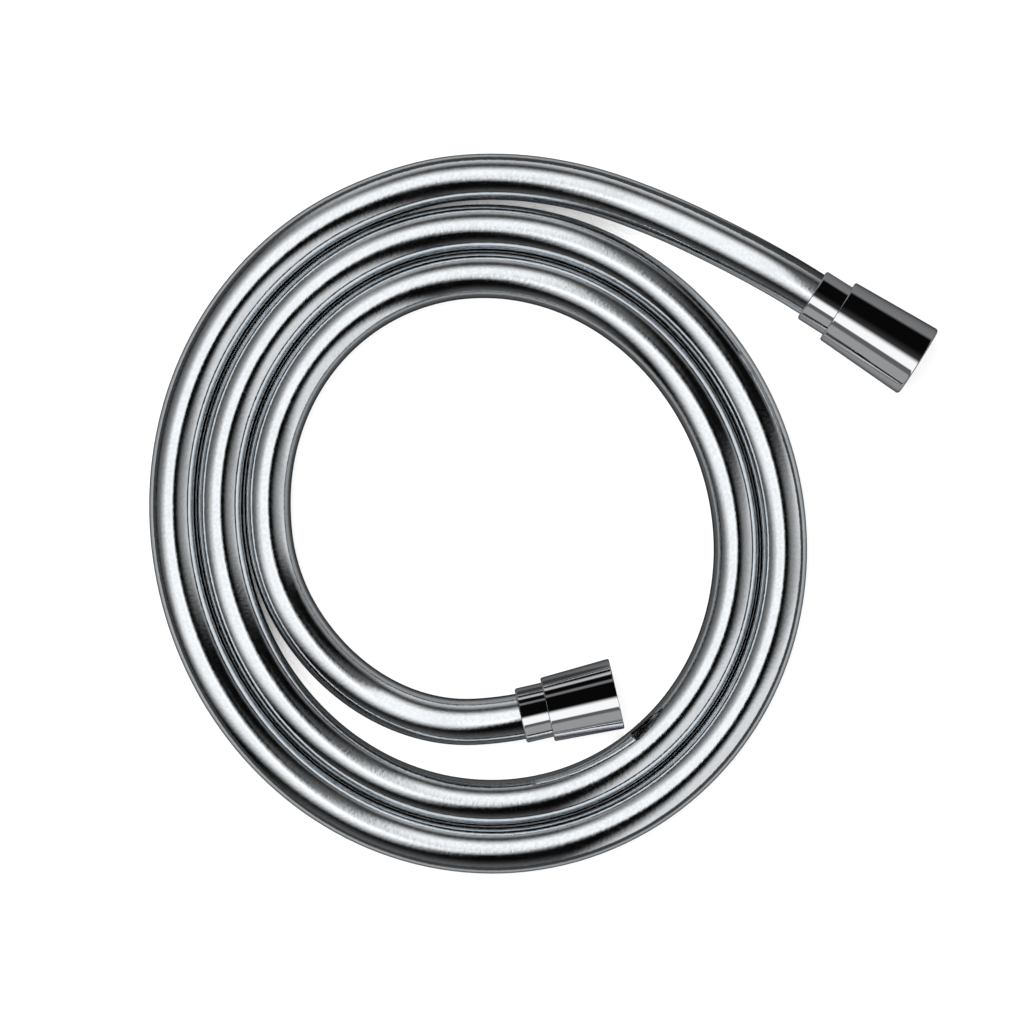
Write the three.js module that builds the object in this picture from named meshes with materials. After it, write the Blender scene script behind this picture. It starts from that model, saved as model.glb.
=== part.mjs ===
// A shower hose: a smooth metal-effect hose lying as a flat spiral, with a swivelling union nut at each end.
// Millimetres, +Z up. The hose lies on the plane z = 0, and the origin is the middle of its footprint.
import * as THREE from 'three';

// Hose
const HOSE_OD = 15;
const HOSE_BORE = 9.4;
const HOSE_SIDES = 12;

// Spiral: where its centre lies, its radius at zero turns, and the shape it has relaxed into.
const COIL_CENTRE = { x: -20.9, y: -0.2 };
const COIL_RADIUS = 113.2;
const COIL_DRIFT = { size: 5.3, towards: -52 };
const COIL_OVAL = { size: 3.6, towards: 107 };
const COIL_GAP = 0.4;
const COIL_FROM = 108;
const COIL_TO = 888;
const COIL_STEP = 12;

// Loose hose between the spiral and each fitting. Each point gives the degrees turned, how far outside the
// line of the spiral it lies, and how far the hose has risen from the floor towards the axis of the fitting:
// 0 not at all, 1 all the way.
const HANDSET_TAIL = [
  [48, 9.0, 0.57],
  [60, 4.4, 0.07],
  [72, 2.3, 0],
  [84, 1.25, 0],
  [96, 0.7, 0],
];
const SUPPLY_TAIL = [
  [900, -0.1, 0],
  [912, -0.2, 0],
  [924, -1.0, 0],
  [936, -2.5, 0],
  [948, -4.2, 0],
  [960, -6.0, 0.04],
  [972, -7.9, 0.28],
  [984, -9.9, 0.7],
];

// Clearance between pieces that seat on or turn in each other.
const SEAT_GAP = 0.3;

// Pipe thread of both nuts (G 1/2), drawn as a plain bore at its major diameter.
const THREAD_MAJOR_D = 20.955;
const THREAD_CHAMFER = 0.3;

// Flat seal
const WASHER_OD = 18.4;
const WASHER_ID = 12;
const WASHER_THICK = 2;

// Insert: neck, collar that turns in the nut, and barbed tail with its wall between the barbs
const NECK_D = 12.4;
const COLLAR_CLEARANCE = 0.4;
const COLLAR_THICK = 2;
const TAIL_WALL = 0.8;
const BARB_COUNT = 3;
const BARB_DEPTH = 0.35;
const TAIL_SETBACK = 1.2;

// Swivel of the handset end: bush, O-ring and slide ring
const BUSH_LENGTH = 4.6;
const BUSH_CHAMFER = 0.4;
const O_RING_SECTION = 1.6;
const O_RING_STEPS = 10;
const SLIDE_RING_THICK = 0.8;
const SLIDE_RING_CLEARANCE = 0.7;

// Ferrule
const FERRULE_WALL = 1.2;
const FERRULE_END_WALL = 1.4;
const FERRULE_EDGE = 0.5;

// Union nut
const LIP_THICK = 2;
const NUT_REAR_CHAMFER = 0.4;
const TURNED_SIDES = 36;
const EDGE_STEPS = 4;

// The two ends. turn and outside place the middle of the nut's mouth as a point of the tail, and heading is
// the way that it faces. The nut is a cone, from its wall outside the thread to its wall outside the ferrule.
const HANDSET_END = {
  name: 'handset',
  turn: 19.07,
  outside: 39.74,
  heading: -32.3,
  nutLength: 30.9,
  mouthWall: 1.72,
  rearWall: 1.6,
  rimRadius: 1,
  socketDepth: 9.5,
  ferruleShown: 9.8,
  straightLead: 10,
  swivel: true,
};
const SUPPLY_END = {
  name: 'supply',
  turn: 1027.5,
  outside: -4.16,
  heading: 13.1,
  nutLength: 23,
  mouthWall: 1.12,
  rearWall: 1.25,
  rimRadius: 0.5,
  socketDepth: 9.5,
  ferruleShown: 8.9,
  straightLead: 3,
  swivel: false,
};

const chrome = () => new THREE.MeshStandardMaterial({ color: 0xc9cbce, roughness: 0.08, metalness: 1 });
const brass = () => new THREE.MeshStandardMaterial({ color: 0xb8974e, roughness: 0.3, metalness: 1 });
const rubber = () => new THREE.MeshStandardMaterial({ color: 0x1c1c1d, roughness: 0.75, metalness: 0 });
const plastic = () => new THREE.MeshStandardMaterial({ color: 0xe6e4dc, roughness: 0.5, metalness: 0 });
const foilSkin = () => new THREE.MeshStandardMaterial({ color: 0xc2c4c8, roughness: 0.2, metalness: 0.9 });

const radians = THREE.MathUtils.degToRad;

// Radii that pieces share: the nut's chamber for washer, bush and collar, the ferrule, the nut's mouth, and
// the bore of whatever passes over the neck.
const chamberRadius = WASHER_OD / 2 + SEAT_GAP;
const ferruleRadius = HOSE_OD / 2 + SEAT_GAP + FERRULE_WALL;
const neckBore = NECK_D / 2 + SEAT_GAP;
const mouthRadius = (end) => THREAD_MAJOR_D / 2 + end.mouthWall;

// Distance from the spiral's centre to the middle of the hose, after a turn of so many degrees.
function coilRadius(turn) {
  const pitch = HOSE_OD + COIL_GAP;
  const drift = COIL_DRIFT.size * Math.cos(radians(turn - COIL_DRIFT.towards));
  const oval = COIL_OVAL.size * Math.cos(2 * radians(turn - COIL_OVAL.towards));
  return COIL_RADIUS + drift + oval - (pitch * turn) / 360;
}

// A point of the spiral, or one that lies so far outside its line.
function spiralPoint(turn, outside, height) {
  const radius = coilRadius(turn) + outside;
  const x = COIL_CENTRE.x + radius * Math.cos(radians(turn));
  const y = COIL_CENTRE.y + radius * Math.sin(radians(turn));
  return new THREE.Vector3(x, y, height);
}

// A point that is so far behind the mouth of an end's nut, on the axis of the fitting.
function pointOnAxis(end, depth) {
  const angle = radians(end.heading);
  const back = new THREE.Vector3(-Math.cos(angle), -Math.sin(angle), 0);
  return spiralPoint(end.turn, end.outside, mouthRadius(end)).addScaledVector(back, depth);
}

function tailPoints(tail, end) {
  const lying = HOSE_OD / 2;
  const lift = mouthRadius(end) - lying;
  return tail.map(([turn, outside, rise]) => spiralPoint(turn, outside, lying + rise * lift));
}

// Depths behind the nut's mouth at which the pieces of one end begin and stop.
function layOut(end) {
  const at = {};
  at.washer = end.socketDepth;
  at.bush = at.washer + WASHER_THICK + SEAT_GAP;
  at.collar = end.swivel ? at.bush + BUSH_LENGTH + SEAT_GAP : at.bush;
  at.collarBack = at.collar + COLLAR_THICK;
  at.slideRing = at.collarBack + SEAT_GAP;
  at.lip = end.swivel ? at.slideRing + SLIDE_RING_THICK + SEAT_GAP : at.slideRing;
  at.lipBack = at.lip + LIP_THICK;
  at.ferrule = at.lipBack + SEAT_GAP;
  at.ferruleWallBack = at.ferrule + FERRULE_END_WALL;
  at.hoseEnd = at.ferruleWallBack + SEAT_GAP;
  at.ferruleMouth = end.nutLength + end.ferruleShown;
  at.tailTip = at.ferruleMouth - TAIL_SETBACK;
  return at;
}

// A turned piece: the profile lists [radius, depth] pairs, and the axis runs along the group's X.
function turnedPiece(name, profile, material) {
  const points = profile.map(([radius, depth]) => new THREE.Vector2(radius, -depth)).reverse();
  points.push(points[0].clone());
  const geometry = new THREE.LatheGeometry(points, TURNED_SIDES);
  geometry.rotateZ(-Math.PI / 2);
  const mesh = new THREE.Mesh(geometry, material);
  mesh.name = name;
  return mesh;
}

// The rounded rim of a mouth, from its front to its outside.
function rimProfile(outside, radius) {
  const points = [];
  for (let i = 0; i <= EDGE_STEPS; i += 1) {
    const angle = radians(90 - (90 * i) / EDGE_STEPS);
    points.push([outside - radius + radius * Math.cos(angle), radius - radius * Math.sin(angle)]);
  }
  return points;
}

function makeNut(end, at) {
  const thread = THREAD_MAJOR_D / 2;
  const skirt = ferruleRadius + SEAT_GAP;
  const rear = skirt + end.rearWall;
  return turnedPiece(`${end.name}_nut`, [
    [thread + THREAD_CHAMFER, 0],
    ...rimProfile(mouthRadius(end), end.rimRadius),
    [rear, end.nutLength - NUT_REAR_CHAMFER],
    [rear - NUT_REAR_CHAMFER, end.nutLength],
    [skirt, end.nutLength],
    [skirt, at.lipBack],
    [neckBore, at.lipBack],
    [neckBore, at.lip],
    [chamberRadius, at.lip],
    [chamberRadius, end.socketDepth],
    [thread, end.socketDepth],
    [thread, THREAD_CHAMFER],
  ], chrome());
}

function makeFerrule(end, at) {
  const bore = ferruleRadius - FERRULE_WALL;
  return turnedPiece(`${end.name}_ferrule`, [
    [neckBore, at.ferrule],
    [ferruleRadius - FERRULE_EDGE, at.ferrule],
    [ferruleRadius, at.ferrule + FERRULE_EDGE],
    [ferruleRadius, at.ferruleMouth - FERRULE_EDGE],
    [ferruleRadius - FERRULE_EDGE, at.ferruleMouth],
    [bore, at.ferruleMouth],
    [bore, at.ferruleWallBack],
    [neckBore, at.ferruleWallBack],
  ], chrome());
}

// Crests of the tail's barbs, which clear the flats of the hose's bore.
const barbCrest = (HOSE_BORE / 2) * Math.cos(Math.PI / HOSE_SIDES) - SEAT_GAP;

// The tail's barbs: each one slopes up towards the neck and drops square behind.
function barbProfile(from, to) {
  const root = barbCrest - BARB_DEPTH;
  const length = (to - from) / BARB_COUNT;
  const points = [];
  for (let i = 0; i < BARB_COUNT; i += 1) {
    points.push([barbCrest, from + i * length]);
    points.push([root, from + (i + 1) * length]);
  }
  return points;
}

// The spigot in front of the collar, with its groove for the O-ring.
function spigotProfile(at) {
  const spigot = NECK_D / 2;
  const front = at.bush + BUSH_CHAMFER;
  const middle = (front + at.collar) / 2;
  const grooveHalf = O_RING_SECTION / 2 + SEAT_GAP;
  const floor = spigot - O_RING_SECTION - SEAT_GAP;
  return [
    [spigot - BUSH_CHAMFER, front],
    [spigot, front + BUSH_CHAMFER],
    [spigot, middle - grooveHalf],
    [floor, middle - grooveHalf],
    [floor, middle + grooveHalf],
    [spigot, middle + grooveHalf],
    [spigot, at.collar],
  ];
}

function makeInsert(end, at) {
  const waterway = barbCrest - BARB_DEPTH - TAIL_WALL;
  const collar = chamberRadius - COLLAR_CLEARANCE;
  const front = end.swivel ? spigotProfile(at) : [];
  const frontDepth = end.swivel ? at.bush + BUSH_CHAMFER : at.collar;
  return turnedPiece(`${end.name}_insert`, [
    [waterway, frontDepth],
    ...front,
    [collar, at.collar],
    [collar, at.collarBack],
    [NECK_D / 2, at.collarBack],
    [NECK_D / 2, at.ferruleWallBack],
    ...barbProfile(at.ferruleWallBack, at.tailTip),
    [waterway, at.tailTip],
  ], brass());
}

function makeRing(name, from, thick, inner, outer, material) {
  return turnedPiece(name, [
    [inner, from],
    [outer, from],
    [outer, from + thick],
    [inner, from + thick],
  ], material);
}

function makeBush(end, at) {
  const outer = WASHER_OD / 2;
  const back = at.bush + BUSH_LENGTH;
  return turnedPiece(`${end.name}_bush`, [
    [neckBore, at.bush],
    [outer - BUSH_CHAMFER, at.bush],
    [outer, at.bush + BUSH_CHAMFER],
    [outer, back - BUSH_CHAMFER],
    [outer - BUSH_CHAMFER, back],
    [neckBore, back],
  ], plastic());
}

function makeORing(end, at) {
  const section = O_RING_SECTION / 2;
  const geometry = new THREE.TorusGeometry(NECK_D / 2 - section, section, O_RING_STEPS, TURNED_SIDES);
  geometry.rotateY(Math.PI / 2);
  const mesh = new THREE.Mesh(geometry, rubber());
  mesh.name = `${end.name}_o_ring`;
  mesh.position.x = -(at.bush + BUSH_CHAMFER + at.collar) / 2;
  return mesh;
}

// One whole fitting, with its axis level and the rim of its nut on the floor.
function makeEnd(end) {
  const at = layOut(end);
  const group = new THREE.Group();
  group.position.copy(pointOnAxis(end, 0));
  group.rotation.z = radians(end.heading);
  group.add(makeNut(end, at));
  group.add(makeFerrule(end, at));
  group.add(makeInsert(end, at));
  group.add(makeRing(`${end.name}_washer`, at.washer, WASHER_THICK, WASHER_ID / 2, WASHER_OD / 2, rubber()));
  if (end.swivel) {
    const outer = chamberRadius - SLIDE_RING_CLEARANCE;
    group.add(makeBush(end, at));
    group.add(makeORing(end, at));
    group.add(makeRing(`${end.name}_slide_ring`, at.slideRing, SLIDE_RING_THICK, neckBore, outer, plastic()));
  }
  return group;
}

// The hose's middle line: into each ferrule along its axis, and round the spiral in equal angles, so that
// the facets of neighbouring turns lie side by side.
class HoseRoute extends THREE.CatmullRomCurve3 {
  getUtoTmapping(u) {
    return u;
  }
}

function hosePoints() {
  const points = [];
  const handset = layOut(HANDSET_END);
  const supply = layOut(SUPPLY_END);
  points.push(pointOnAxis(HANDSET_END, handset.hoseEnd));
  points.push(pointOnAxis(HANDSET_END, handset.ferruleMouth + HANDSET_END.straightLead));
  points.push(...tailPoints(HANDSET_TAIL, HANDSET_END));
  for (let turn = COIL_FROM; turn <= COIL_TO; turn += COIL_STEP) {
    points.push(spiralPoint(turn, 0, HOSE_OD / 2));
  }
  points.push(...tailPoints(SUPPLY_TAIL, SUPPLY_END));
  points.push(pointOnAxis(SUPPLY_END, supply.ferruleMouth + SUPPLY_END.straightLead));
  points.push(pointOnAxis(SUPPLY_END, supply.hoseEnd));
  return points;
}

function makeHose() {
  const points = hosePoints();
  const section = new THREE.Shape();
  section.absarc(0, 0, HOSE_OD / 2, 0, 2 * Math.PI, false);
  const bore = new THREE.Path();
  bore.absarc(0, 0, HOSE_BORE / 2, 0, 2 * Math.PI, true);
  section.holes.push(bore);
  const geometry = new THREE.ExtrudeGeometry(section, {
    steps: points.length - 1,
    curveSegments: HOSE_SIDES / 2,
    extrudePath: new HoseRoute(points),
  });
  const mesh = new THREE.Mesh(geometry, foilSkin());
  mesh.name = 'hose';
  return mesh;
}

const showerHose = new THREE.Group();
showerHose.add(makeHose());
showerHose.add(makeEnd(HANDSET_END));
showerHose.add(makeEnd(SUPPLY_END));

export default showerHose;
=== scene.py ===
"""A shower hose: a bright metal-effect hose lying as a flat spiral, with a swivelling union nut at each end.

Lengths are written in millimetres and handed to Blender in metres, +Z up. The hose lies on the plane z = 0,
the origin is the middle of its footprint, and the camera looks straight down on it.
"""
import logging
import math
from dataclasses import dataclass, field
from enum import Enum
from typing import Any, Sequence

import bpy
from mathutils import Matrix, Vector


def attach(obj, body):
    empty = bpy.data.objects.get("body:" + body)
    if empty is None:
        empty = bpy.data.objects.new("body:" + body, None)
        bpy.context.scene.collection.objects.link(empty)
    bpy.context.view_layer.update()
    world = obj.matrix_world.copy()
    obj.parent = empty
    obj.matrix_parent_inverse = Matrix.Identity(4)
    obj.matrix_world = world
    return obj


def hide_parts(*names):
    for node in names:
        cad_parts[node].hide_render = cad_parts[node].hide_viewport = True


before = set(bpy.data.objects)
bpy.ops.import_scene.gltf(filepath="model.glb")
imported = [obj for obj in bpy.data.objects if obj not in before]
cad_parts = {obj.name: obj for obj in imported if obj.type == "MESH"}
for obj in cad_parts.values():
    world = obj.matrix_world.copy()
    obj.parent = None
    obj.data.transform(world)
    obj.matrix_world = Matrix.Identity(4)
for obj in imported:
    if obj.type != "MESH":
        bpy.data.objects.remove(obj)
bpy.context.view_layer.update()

MM = 0.001
FULL_TURN = 2 * math.pi
WHITE = (1.0, 1.0, 1.0, 1.0)
UNSCALED = (1.0, 1.0, 1.0)
UP = (0.0, 0.0, 1.0)

# A Mix node has its two colours and its result at these places.
MIX_LOW, MIX_HIGH, MIX_RESULT = 6, 7, 2

# The ways that the two fittings face, in degrees round from +X.
HANDSET_HEADING = -32.3
SUPPLY_HEADING = 13.1

log = logging.getLogger("shower_hose")

Pair = tuple[float, float]
Triple = tuple[float, float, float]
Profile = list[Pair]
Socket = bpy.types.NodeSocket


class Body(Enum):
    """The bodies that pieces ride on."""

    LINE = "hose_line"
    HANDSET = "handset_coupling"
    SUPPLY = "supply_coupling"


class Slot(Enum):
    """The record's material slots."""

    SKIN = "hose_skin"
    NUT = "chrome_nut"
    FERRULE = "chrome_ferrule"
    BRASS = "brass"
    RUBBER = "seal_rubber"
    PLASTIC = "white_plastic"


class Receiver(Enum):
    """What a reflected light is shown to."""

    HOSE = "lights_of_the_hose"
    HANDSET = "lights_of_the_handset_end"
    SUPPLY = "lights_of_the_supply_end"


# Nodes and finishes


class Shader:
    """A material whose nodes are laid one at a time."""

    def __init__(self, name: str) -> None:
        """Starts an empty material.

        Args:
            name: The material's name.
        """
        self.material = bpy.data.materials.new(name)
        self.material.use_nodes = True
        self.tree = self.material.node_tree
        self.tree.nodes.clear()

    def add(self, kind: str, inputs: dict[Any, Any] | None = None, **settings: Any) -> bpy.types.Node:
        """Adds a node.

        Args:
            kind: The node's Blender type.
            inputs: Numbers, colours or output sockets by input name or number.
            settings: The node's own options.

        Returns:
            The new node.
        """
        node = self.tree.nodes.new(kind)
        for key, value in settings.items():
            setattr(node, key, value)
        for key, value in (inputs or {}).items():
            if isinstance(value, Socket):
                self.tree.links.new(value, node.inputs[key])
            else:
                node.inputs[key].default_value = value
        return node

    def math(self, operation: str, *values: Any) -> Socket:
        """Adds a Math node.

        Args:
            operation: What it works out.
            values: Its inputs in order, as numbers or sockets.

        Returns:
            Its result.
        """
        return self.add("ShaderNodeMath", dict(enumerate(values)), operation=operation).outputs[0]

    def vector(self, operation: str, *values: Any) -> bpy.types.Node:
        """Adds a Vector Math node.

        Args:
            operation: What it works out.
            values: Its inputs in order, as vectors or sockets.

        Returns:
            The node.
        """
        return self.add("ShaderNodeVectorMath", dict(enumerate(values)), operation=operation)

    def chain(self, operation: str, values: Sequence[Any]) -> Socket:
        """Joins values one after another by the same operation.

        Args:
            operation: What each Math node works out.
            values: Two or more numbers or sockets.

        Returns:
            The last result.
        """
        result = values[0]
        for value in values[1:]:
            result = self.math(operation, result, value)
        return result

    def ramp(self, value: Any, low: float, high: float, start: float = 0.0, end: float = 1.0) -> Socket:
        """Adds a smooth Map Range node.

        Args:
            value: What is read.
            low: The value at which the result starts.
            high: The value at which the result ends.
            start: The result at low.
            end: The result at high.

        Returns:
            Its result.
        """
        inputs = {"Value": value, "From Min": low, "From Max": high, "To Min": start, "To Max": end}
        return self.add("ShaderNodeMapRange", inputs, interpolation_type="SMOOTHSTEP").outputs["Result"]

    def band(self, value: Any, low: Pair, high: Pair) -> Socket:
        """Gives 1 between two soft edges and 0 outside them.

        Args:
            value: What is read.
            low: The place and softness of the edge where the band begins.
            high: The place and softness of the edge where it ends.

        Returns:
            The band.
        """
        rise = self.ramp(value, low[0] - low[1], low[0] + low[1])
        fall = self.ramp(value, high[0] - high[1], high[0] + high[1], 1.0, 0.0)
        return self.math("MULTIPLY", rise, fall)

    def coordinates(self, output: str, scale: Triple = UNSCALED) -> Socket:
        """Reads a coordinate of the piece, with its own scale along each axis.

        Args:
            output: "Object" or "UV".
            scale: How much finer the pattern is along each axis.

        Returns:
            The scaled coordinate.
        """
        source = self.add("ShaderNodeTexCoord").outputs[output]
        return self.add("ShaderNodeMapping", {"Vector": source, "Scale": scale}).outputs["Vector"]

    def noise(self, vector: Any, scale: float, detail: float, rough: float) -> Socket:
        """Adds a Noise texture.

        Args:
            vector: Where it is read.
            scale: How fine it is.
            detail: How many finer layers it has.
            rough: How strong those layers are.

        Returns:
            Its value, about 0.5 on average.
        """
        inputs = {"Vector": vector, "Scale": scale, "Detail": detail, "Roughness": rough}
        return self.add("ShaderNodeTexNoise", inputs).outputs["Fac"]

    def colour(self, value: Any, low: Sequence[float], high: Sequence[float]) -> Socket:
        """Blends two colours.

        Args:
            value: 0 for the first colour and 1 for the second.
            low: The first colour.
            high: The second colour.

        Returns:
            The blended colour.
        """
        node = self.add("ShaderNodeMix", {0: value}, data_type="RGBA")
        node.inputs[MIX_LOW].default_value = (*low, 1.0)
        node.inputs[MIX_HIGH].default_value = (*high, 1.0)
        return node.outputs[MIX_RESULT]

    def bump(self, height: Any, distance: float, strength: float) -> Socket:
        """Adds a Bump node.

        Args:
            height: The surface's relief, 0 to 1.
            distance: The relief's depth in metres.
            strength: How much of it is used.

        Returns:
            The bumped normal.
        """
        inputs = {"Height": height, "Distance": distance, "Strength": strength}
        return self.add("ShaderNodeBump", inputs).outputs["Normal"]

    def glow(self, strength: Any) -> Socket:
        """Adds a white Emission shader of this strength."""
        return self.add("ShaderNodeEmission", {"Color": WHITE, "Strength": strength}).outputs[0]

    def both(self, first: Socket, second: Socket) -> Socket:
        """Adds two shaders up."""
        return self.add("ShaderNodeAddShader", {0: first, 1: second}).outputs[0]

    def principled(self, inputs: dict[str, Any]) -> bpy.types.Material:
        """Finishes the material with a Principled shader that has these inputs."""
        return self.finish(self.add("ShaderNodeBsdfPrincipled", inputs).outputs[0])

    def finish(self, surface: Socket) -> bpy.types.Material:
        """Joins a shader to the material's output.

        Args:
            surface: The last shader.

        Returns:
            The finished material.
        """
        self.add("ShaderNodeOutputMaterial", {"Surface": surface})
        return self.material


@dataclass(frozen=True)
class FoilSkin:
    """Bright metallised film, wound on under a clear gloss skin, with the braid's fine unevenness.

    A noise is (scale, detail, roughness), and a range is where the mottle's effect starts and ends. The
    relief is made of the fine noise, the streaks and the film's seam, in the shares given.
    """

    base: Triple = (0.768, 0.80, 0.828)
    edge: Triple = (0.03, 0.03, 0.035)
    roughness: Pair = (0.06, 0.13)
    fine: Triple = (900.0, 3.0, 0.62)
    broad: Triple = (95.0, 2.0, 0.5)
    streaks: Triple = (1.0, 3.0, 0.6)
    streak_scale: Triple = (46.0, 5.0, 1.0)
    film_turns: float = 3.9
    seam_place: float = 0.5
    seam_width: float = 0.02
    fine_share: float = 0.7
    dull_range: Pair = (0.36, 0.66)
    tint_range: Pair = (0.35, 0.65)
    tints: Pair = (0.92, 1.04)
    relief_shares: Triple = (0.9, 0.15, 0.06)
    relief: Pair = (0.00005, 0.6)
    coat_weight: float = 0.12
    coat_roughness: float = 0.03
    coat_index: float = 1.5

    def make(self) -> bpy.types.Material:
        """Builds the material, on the hose's own length and girth.

        Returns:
            The material.
        """
        shader = Shader("hose_skin_foil")
        place = shader.coordinates("Object")
        fine = shader.noise(place, *self.fine)
        broad = shader.math("MULTIPLY", shader.noise(place, *self.broad), 1 - self.fine_share)
        mottle = shader.math("MULTIPLY_ADD", fine, self.fine_share, broad)
        streaks = shader.noise(shader.coordinates("UV", self.streak_scale), *self.streaks)
        girth, length, _ = shader.add("ShaderNodeSeparateXYZ", {0: shader.coordinates("UV")}).outputs
        wound = shader.math("FRACT", shader.math("MULTIPLY_ADD", length, self.film_turns, girth))
        seam = shader.math("ABSOLUTE", shader.math("SUBTRACT", wound, self.seam_place))
        seam = shader.ramp(seam, 0.0, self.seam_width, 1.0, 0.0)
        fine_part, streak_part, seam_part = self.relief_shares
        relief = shader.math("MULTIPLY_ADD", streaks, streak_part, shader.math("MULTIPLY", fine, fine_part))
        relief = shader.math("SUBTRACT", relief, shader.math("MULTIPLY", seam, seam_part))
        dark, bright = ([tint * part for part in self.base] for tint in self.tints)
        return shader.principled(
            {
                "Base Color": shader.colour(shader.ramp(mottle, *self.tint_range), dark, bright),
                "Metallic": 1.0,
                "Roughness": shader.ramp(mottle, *self.dull_range, *self.roughness),
                "Specular Tint": (*self.edge, 1.0),
                "Coat Weight": self.coat_weight,
                "Coat Roughness": self.coat_roughness,
                "Coat IOR": self.coat_index,
                "Normal": shader.bump(relief, *self.relief),
            }
        )


@dataclass(frozen=True)
class ChromePlate:
    """Polished chrome plate, with the finest marks of the polishing wheel round it.

    A noise is (scale, detail, roughness), and the wheel's share of the roughness and the relief is given.
    """

    name: str
    base: Triple = (0.80, 0.81, 0.83)
    edge: Triple = (0.22, 0.22, 0.24)
    roughness: Pair = (0.025, 0.06)
    wheel: Triple = (1.0, 2.0, 0.5)
    wheel_scale: Triple = (60.0, 5200.0, 1.0)
    smudge: Triple = (140.0, 3.0, 0.6)
    smudge_tint: float = 0.97
    wheel_share: float = 0.35
    dull_range: Pair = (0.4, 0.68)
    wheel_relief: float = 0.4
    relief: Pair = (0.00002, 0.12)

    def make(self) -> bpy.types.Material:
        """Builds the material, on the piece's own girth and depth.

        Returns:
            The material.
        """
        shader = Shader(self.name)
        wheel = shader.noise(shader.coordinates("UV", self.wheel_scale), *self.wheel)
        smudge = shader.noise(shader.coordinates("Object"), *self.smudge)
        smudged = shader.math("MULTIPLY", smudge, 1 - self.wheel_share)
        dull = shader.math("MULTIPLY_ADD", wheel, self.wheel_share, smudged)
        height = shader.math("MULTIPLY_ADD", wheel, self.wheel_relief, smudge)
        smudged_base = [self.smudge_tint * part for part in self.base]
        return shader.principled(
            {
                "Base Color": shader.colour(smudge, smudged_base, self.base),
                "Metallic": 1.0,
                "Roughness": shader.ramp(dull, *self.dull_range, *self.roughness),
                "Specular Tint": (*self.edge, 1.0),
                "Normal": shader.bump(height, *self.relief),
            }
        )


@dataclass(frozen=True)
class TurnedBrass:
    """Bare brass as it comes off the lathe, with its fine tool marks.

    A noise is (scale, detail, roughness).
    """

    base: Triple = (0.72, 0.56, 0.27)
    dull: Triple = (0.58, 0.43, 0.19)
    roughness: Pair = (0.2, 0.36)
    marks: Triple = (1.0, 2.0, 0.6)
    marks_scale: Triple = (12.0, 5200.0, 1.0)
    marks_range: Pair = (0.35, 0.65)
    tarnish: Triple = (320.0, 4.0, 0.6)
    tarnish_range: Pair = (0.4, 0.65)
    relief: Pair = (0.00003, 0.5)

    def make(self) -> bpy.types.Material:
        """Builds the material, on the piece's own girth and depth.

        Returns:
            The material.
        """
        shader = Shader("brass_turned")
        marks = shader.noise(shader.coordinates("UV", self.marks_scale), *self.marks)
        tarnish = shader.noise(shader.coordinates("Object"), *self.tarnish)
        return shader.principled(
            {
                "Base Color": shader.colour(shader.ramp(tarnish, *self.tarnish_range), self.base, self.dull),
                "Metallic": 1.0,
                "Roughness": shader.ramp(marks, *self.marks_range, *self.roughness),
                "Normal": shader.bump(marks, *self.relief),
            }
        )


@dataclass(frozen=True)
class Moulded:
    """A moulded finish, rubber or plastic: one colour with a fine grain.

    A noise is (scale, detail, roughness).
    """

    name: str
    base: Triple
    varied: Triple
    roughness: Pair
    depth: float
    grain: Triple = (2600.0, 3.0, 0.6)
    grain_range: Pair = (0.35, 0.65)
    grain_strength: float = 0.4
    flow: Triple = (260.0, 2.0, 0.5)

    def make(self) -> bpy.types.Material:
        """Builds the material.

        Returns:
            The material.
        """
        shader = Shader(self.name)
        place = shader.coordinates("Object")
        grain = shader.noise(place, *self.grain)
        return shader.principled(
            {
                "Base Color": shader.colour(shader.noise(place, *self.flow), self.base, self.varied),
                "Roughness": shader.ramp(grain, *self.grain_range, *self.roughness),
                "Normal": shader.bump(grain, self.depth, self.grain_strength),
            }
        )


class Finishes:
    """Every material of the object, made once, by slot."""

    def __init__(self) -> None:
        """Makes the materials."""
        self.by_slot = {
            Slot.SKIN: FoilSkin().make(),
            Slot.NUT: ChromePlate("chrome_nut_plate").make(),
            Slot.FERRULE: ChromePlate("chrome_ferrule_plate").make(),
            Slot.BRASS: TurnedBrass().make(),
            Slot.RUBBER: Moulded(
                "rubber_moulded",
                base=(0.024, 0.024, 0.026),
                varied=(0.04, 0.04, 0.042),
                roughness=(0.55, 0.8),
                depth=0.00003,
            ).make(),
            Slot.PLASTIC: Moulded(
                "plastic_moulded",
                base=(0.84, 0.83, 0.80),
                varied=(0.88, 0.87, 0.84),
                roughness=(0.38, 0.5),
                depth=0.00001,
            ).make(),
        }

    def dress(self, piece: bpy.types.Object, node: str, body: Body, slot: Slot) -> None:
        """Gives a piece the finish of its slot and its body, and hides the CAD node that it stands for.

        Args:
            piece: The finished piece.
            node: The CAD node that it replaces.
            body: The body that it rides on.
            slot: The slot that its finish belongs to.
        """
        piece.data.materials.clear()
        piece.data.materials.append(self.by_slot[slot])
        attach(piece, body.value)
        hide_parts(node)
        log.info("%s: %d faces on %s", piece.name, len(piece.data.polygons), body.value)


# Handling pieces


def select_only(piece: bpy.types.Object) -> None:
    """Selects one object and makes it active.

    Args:
        piece: The object.
    """
    bpy.ops.object.select_all(action="DESELECT")
    piece.select_set(True)
    bpy.context.view_layer.objects.active = piece


def apply_modifiers(piece: bpy.types.Object) -> None:
    """Applies every modifier of a piece in order.

    Args:
        piece: The piece.
    """
    select_only(piece)
    for modifier in list(piece.modifiers):
        bpy.ops.object.modifier_apply(modifier=modifier.name)


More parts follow.
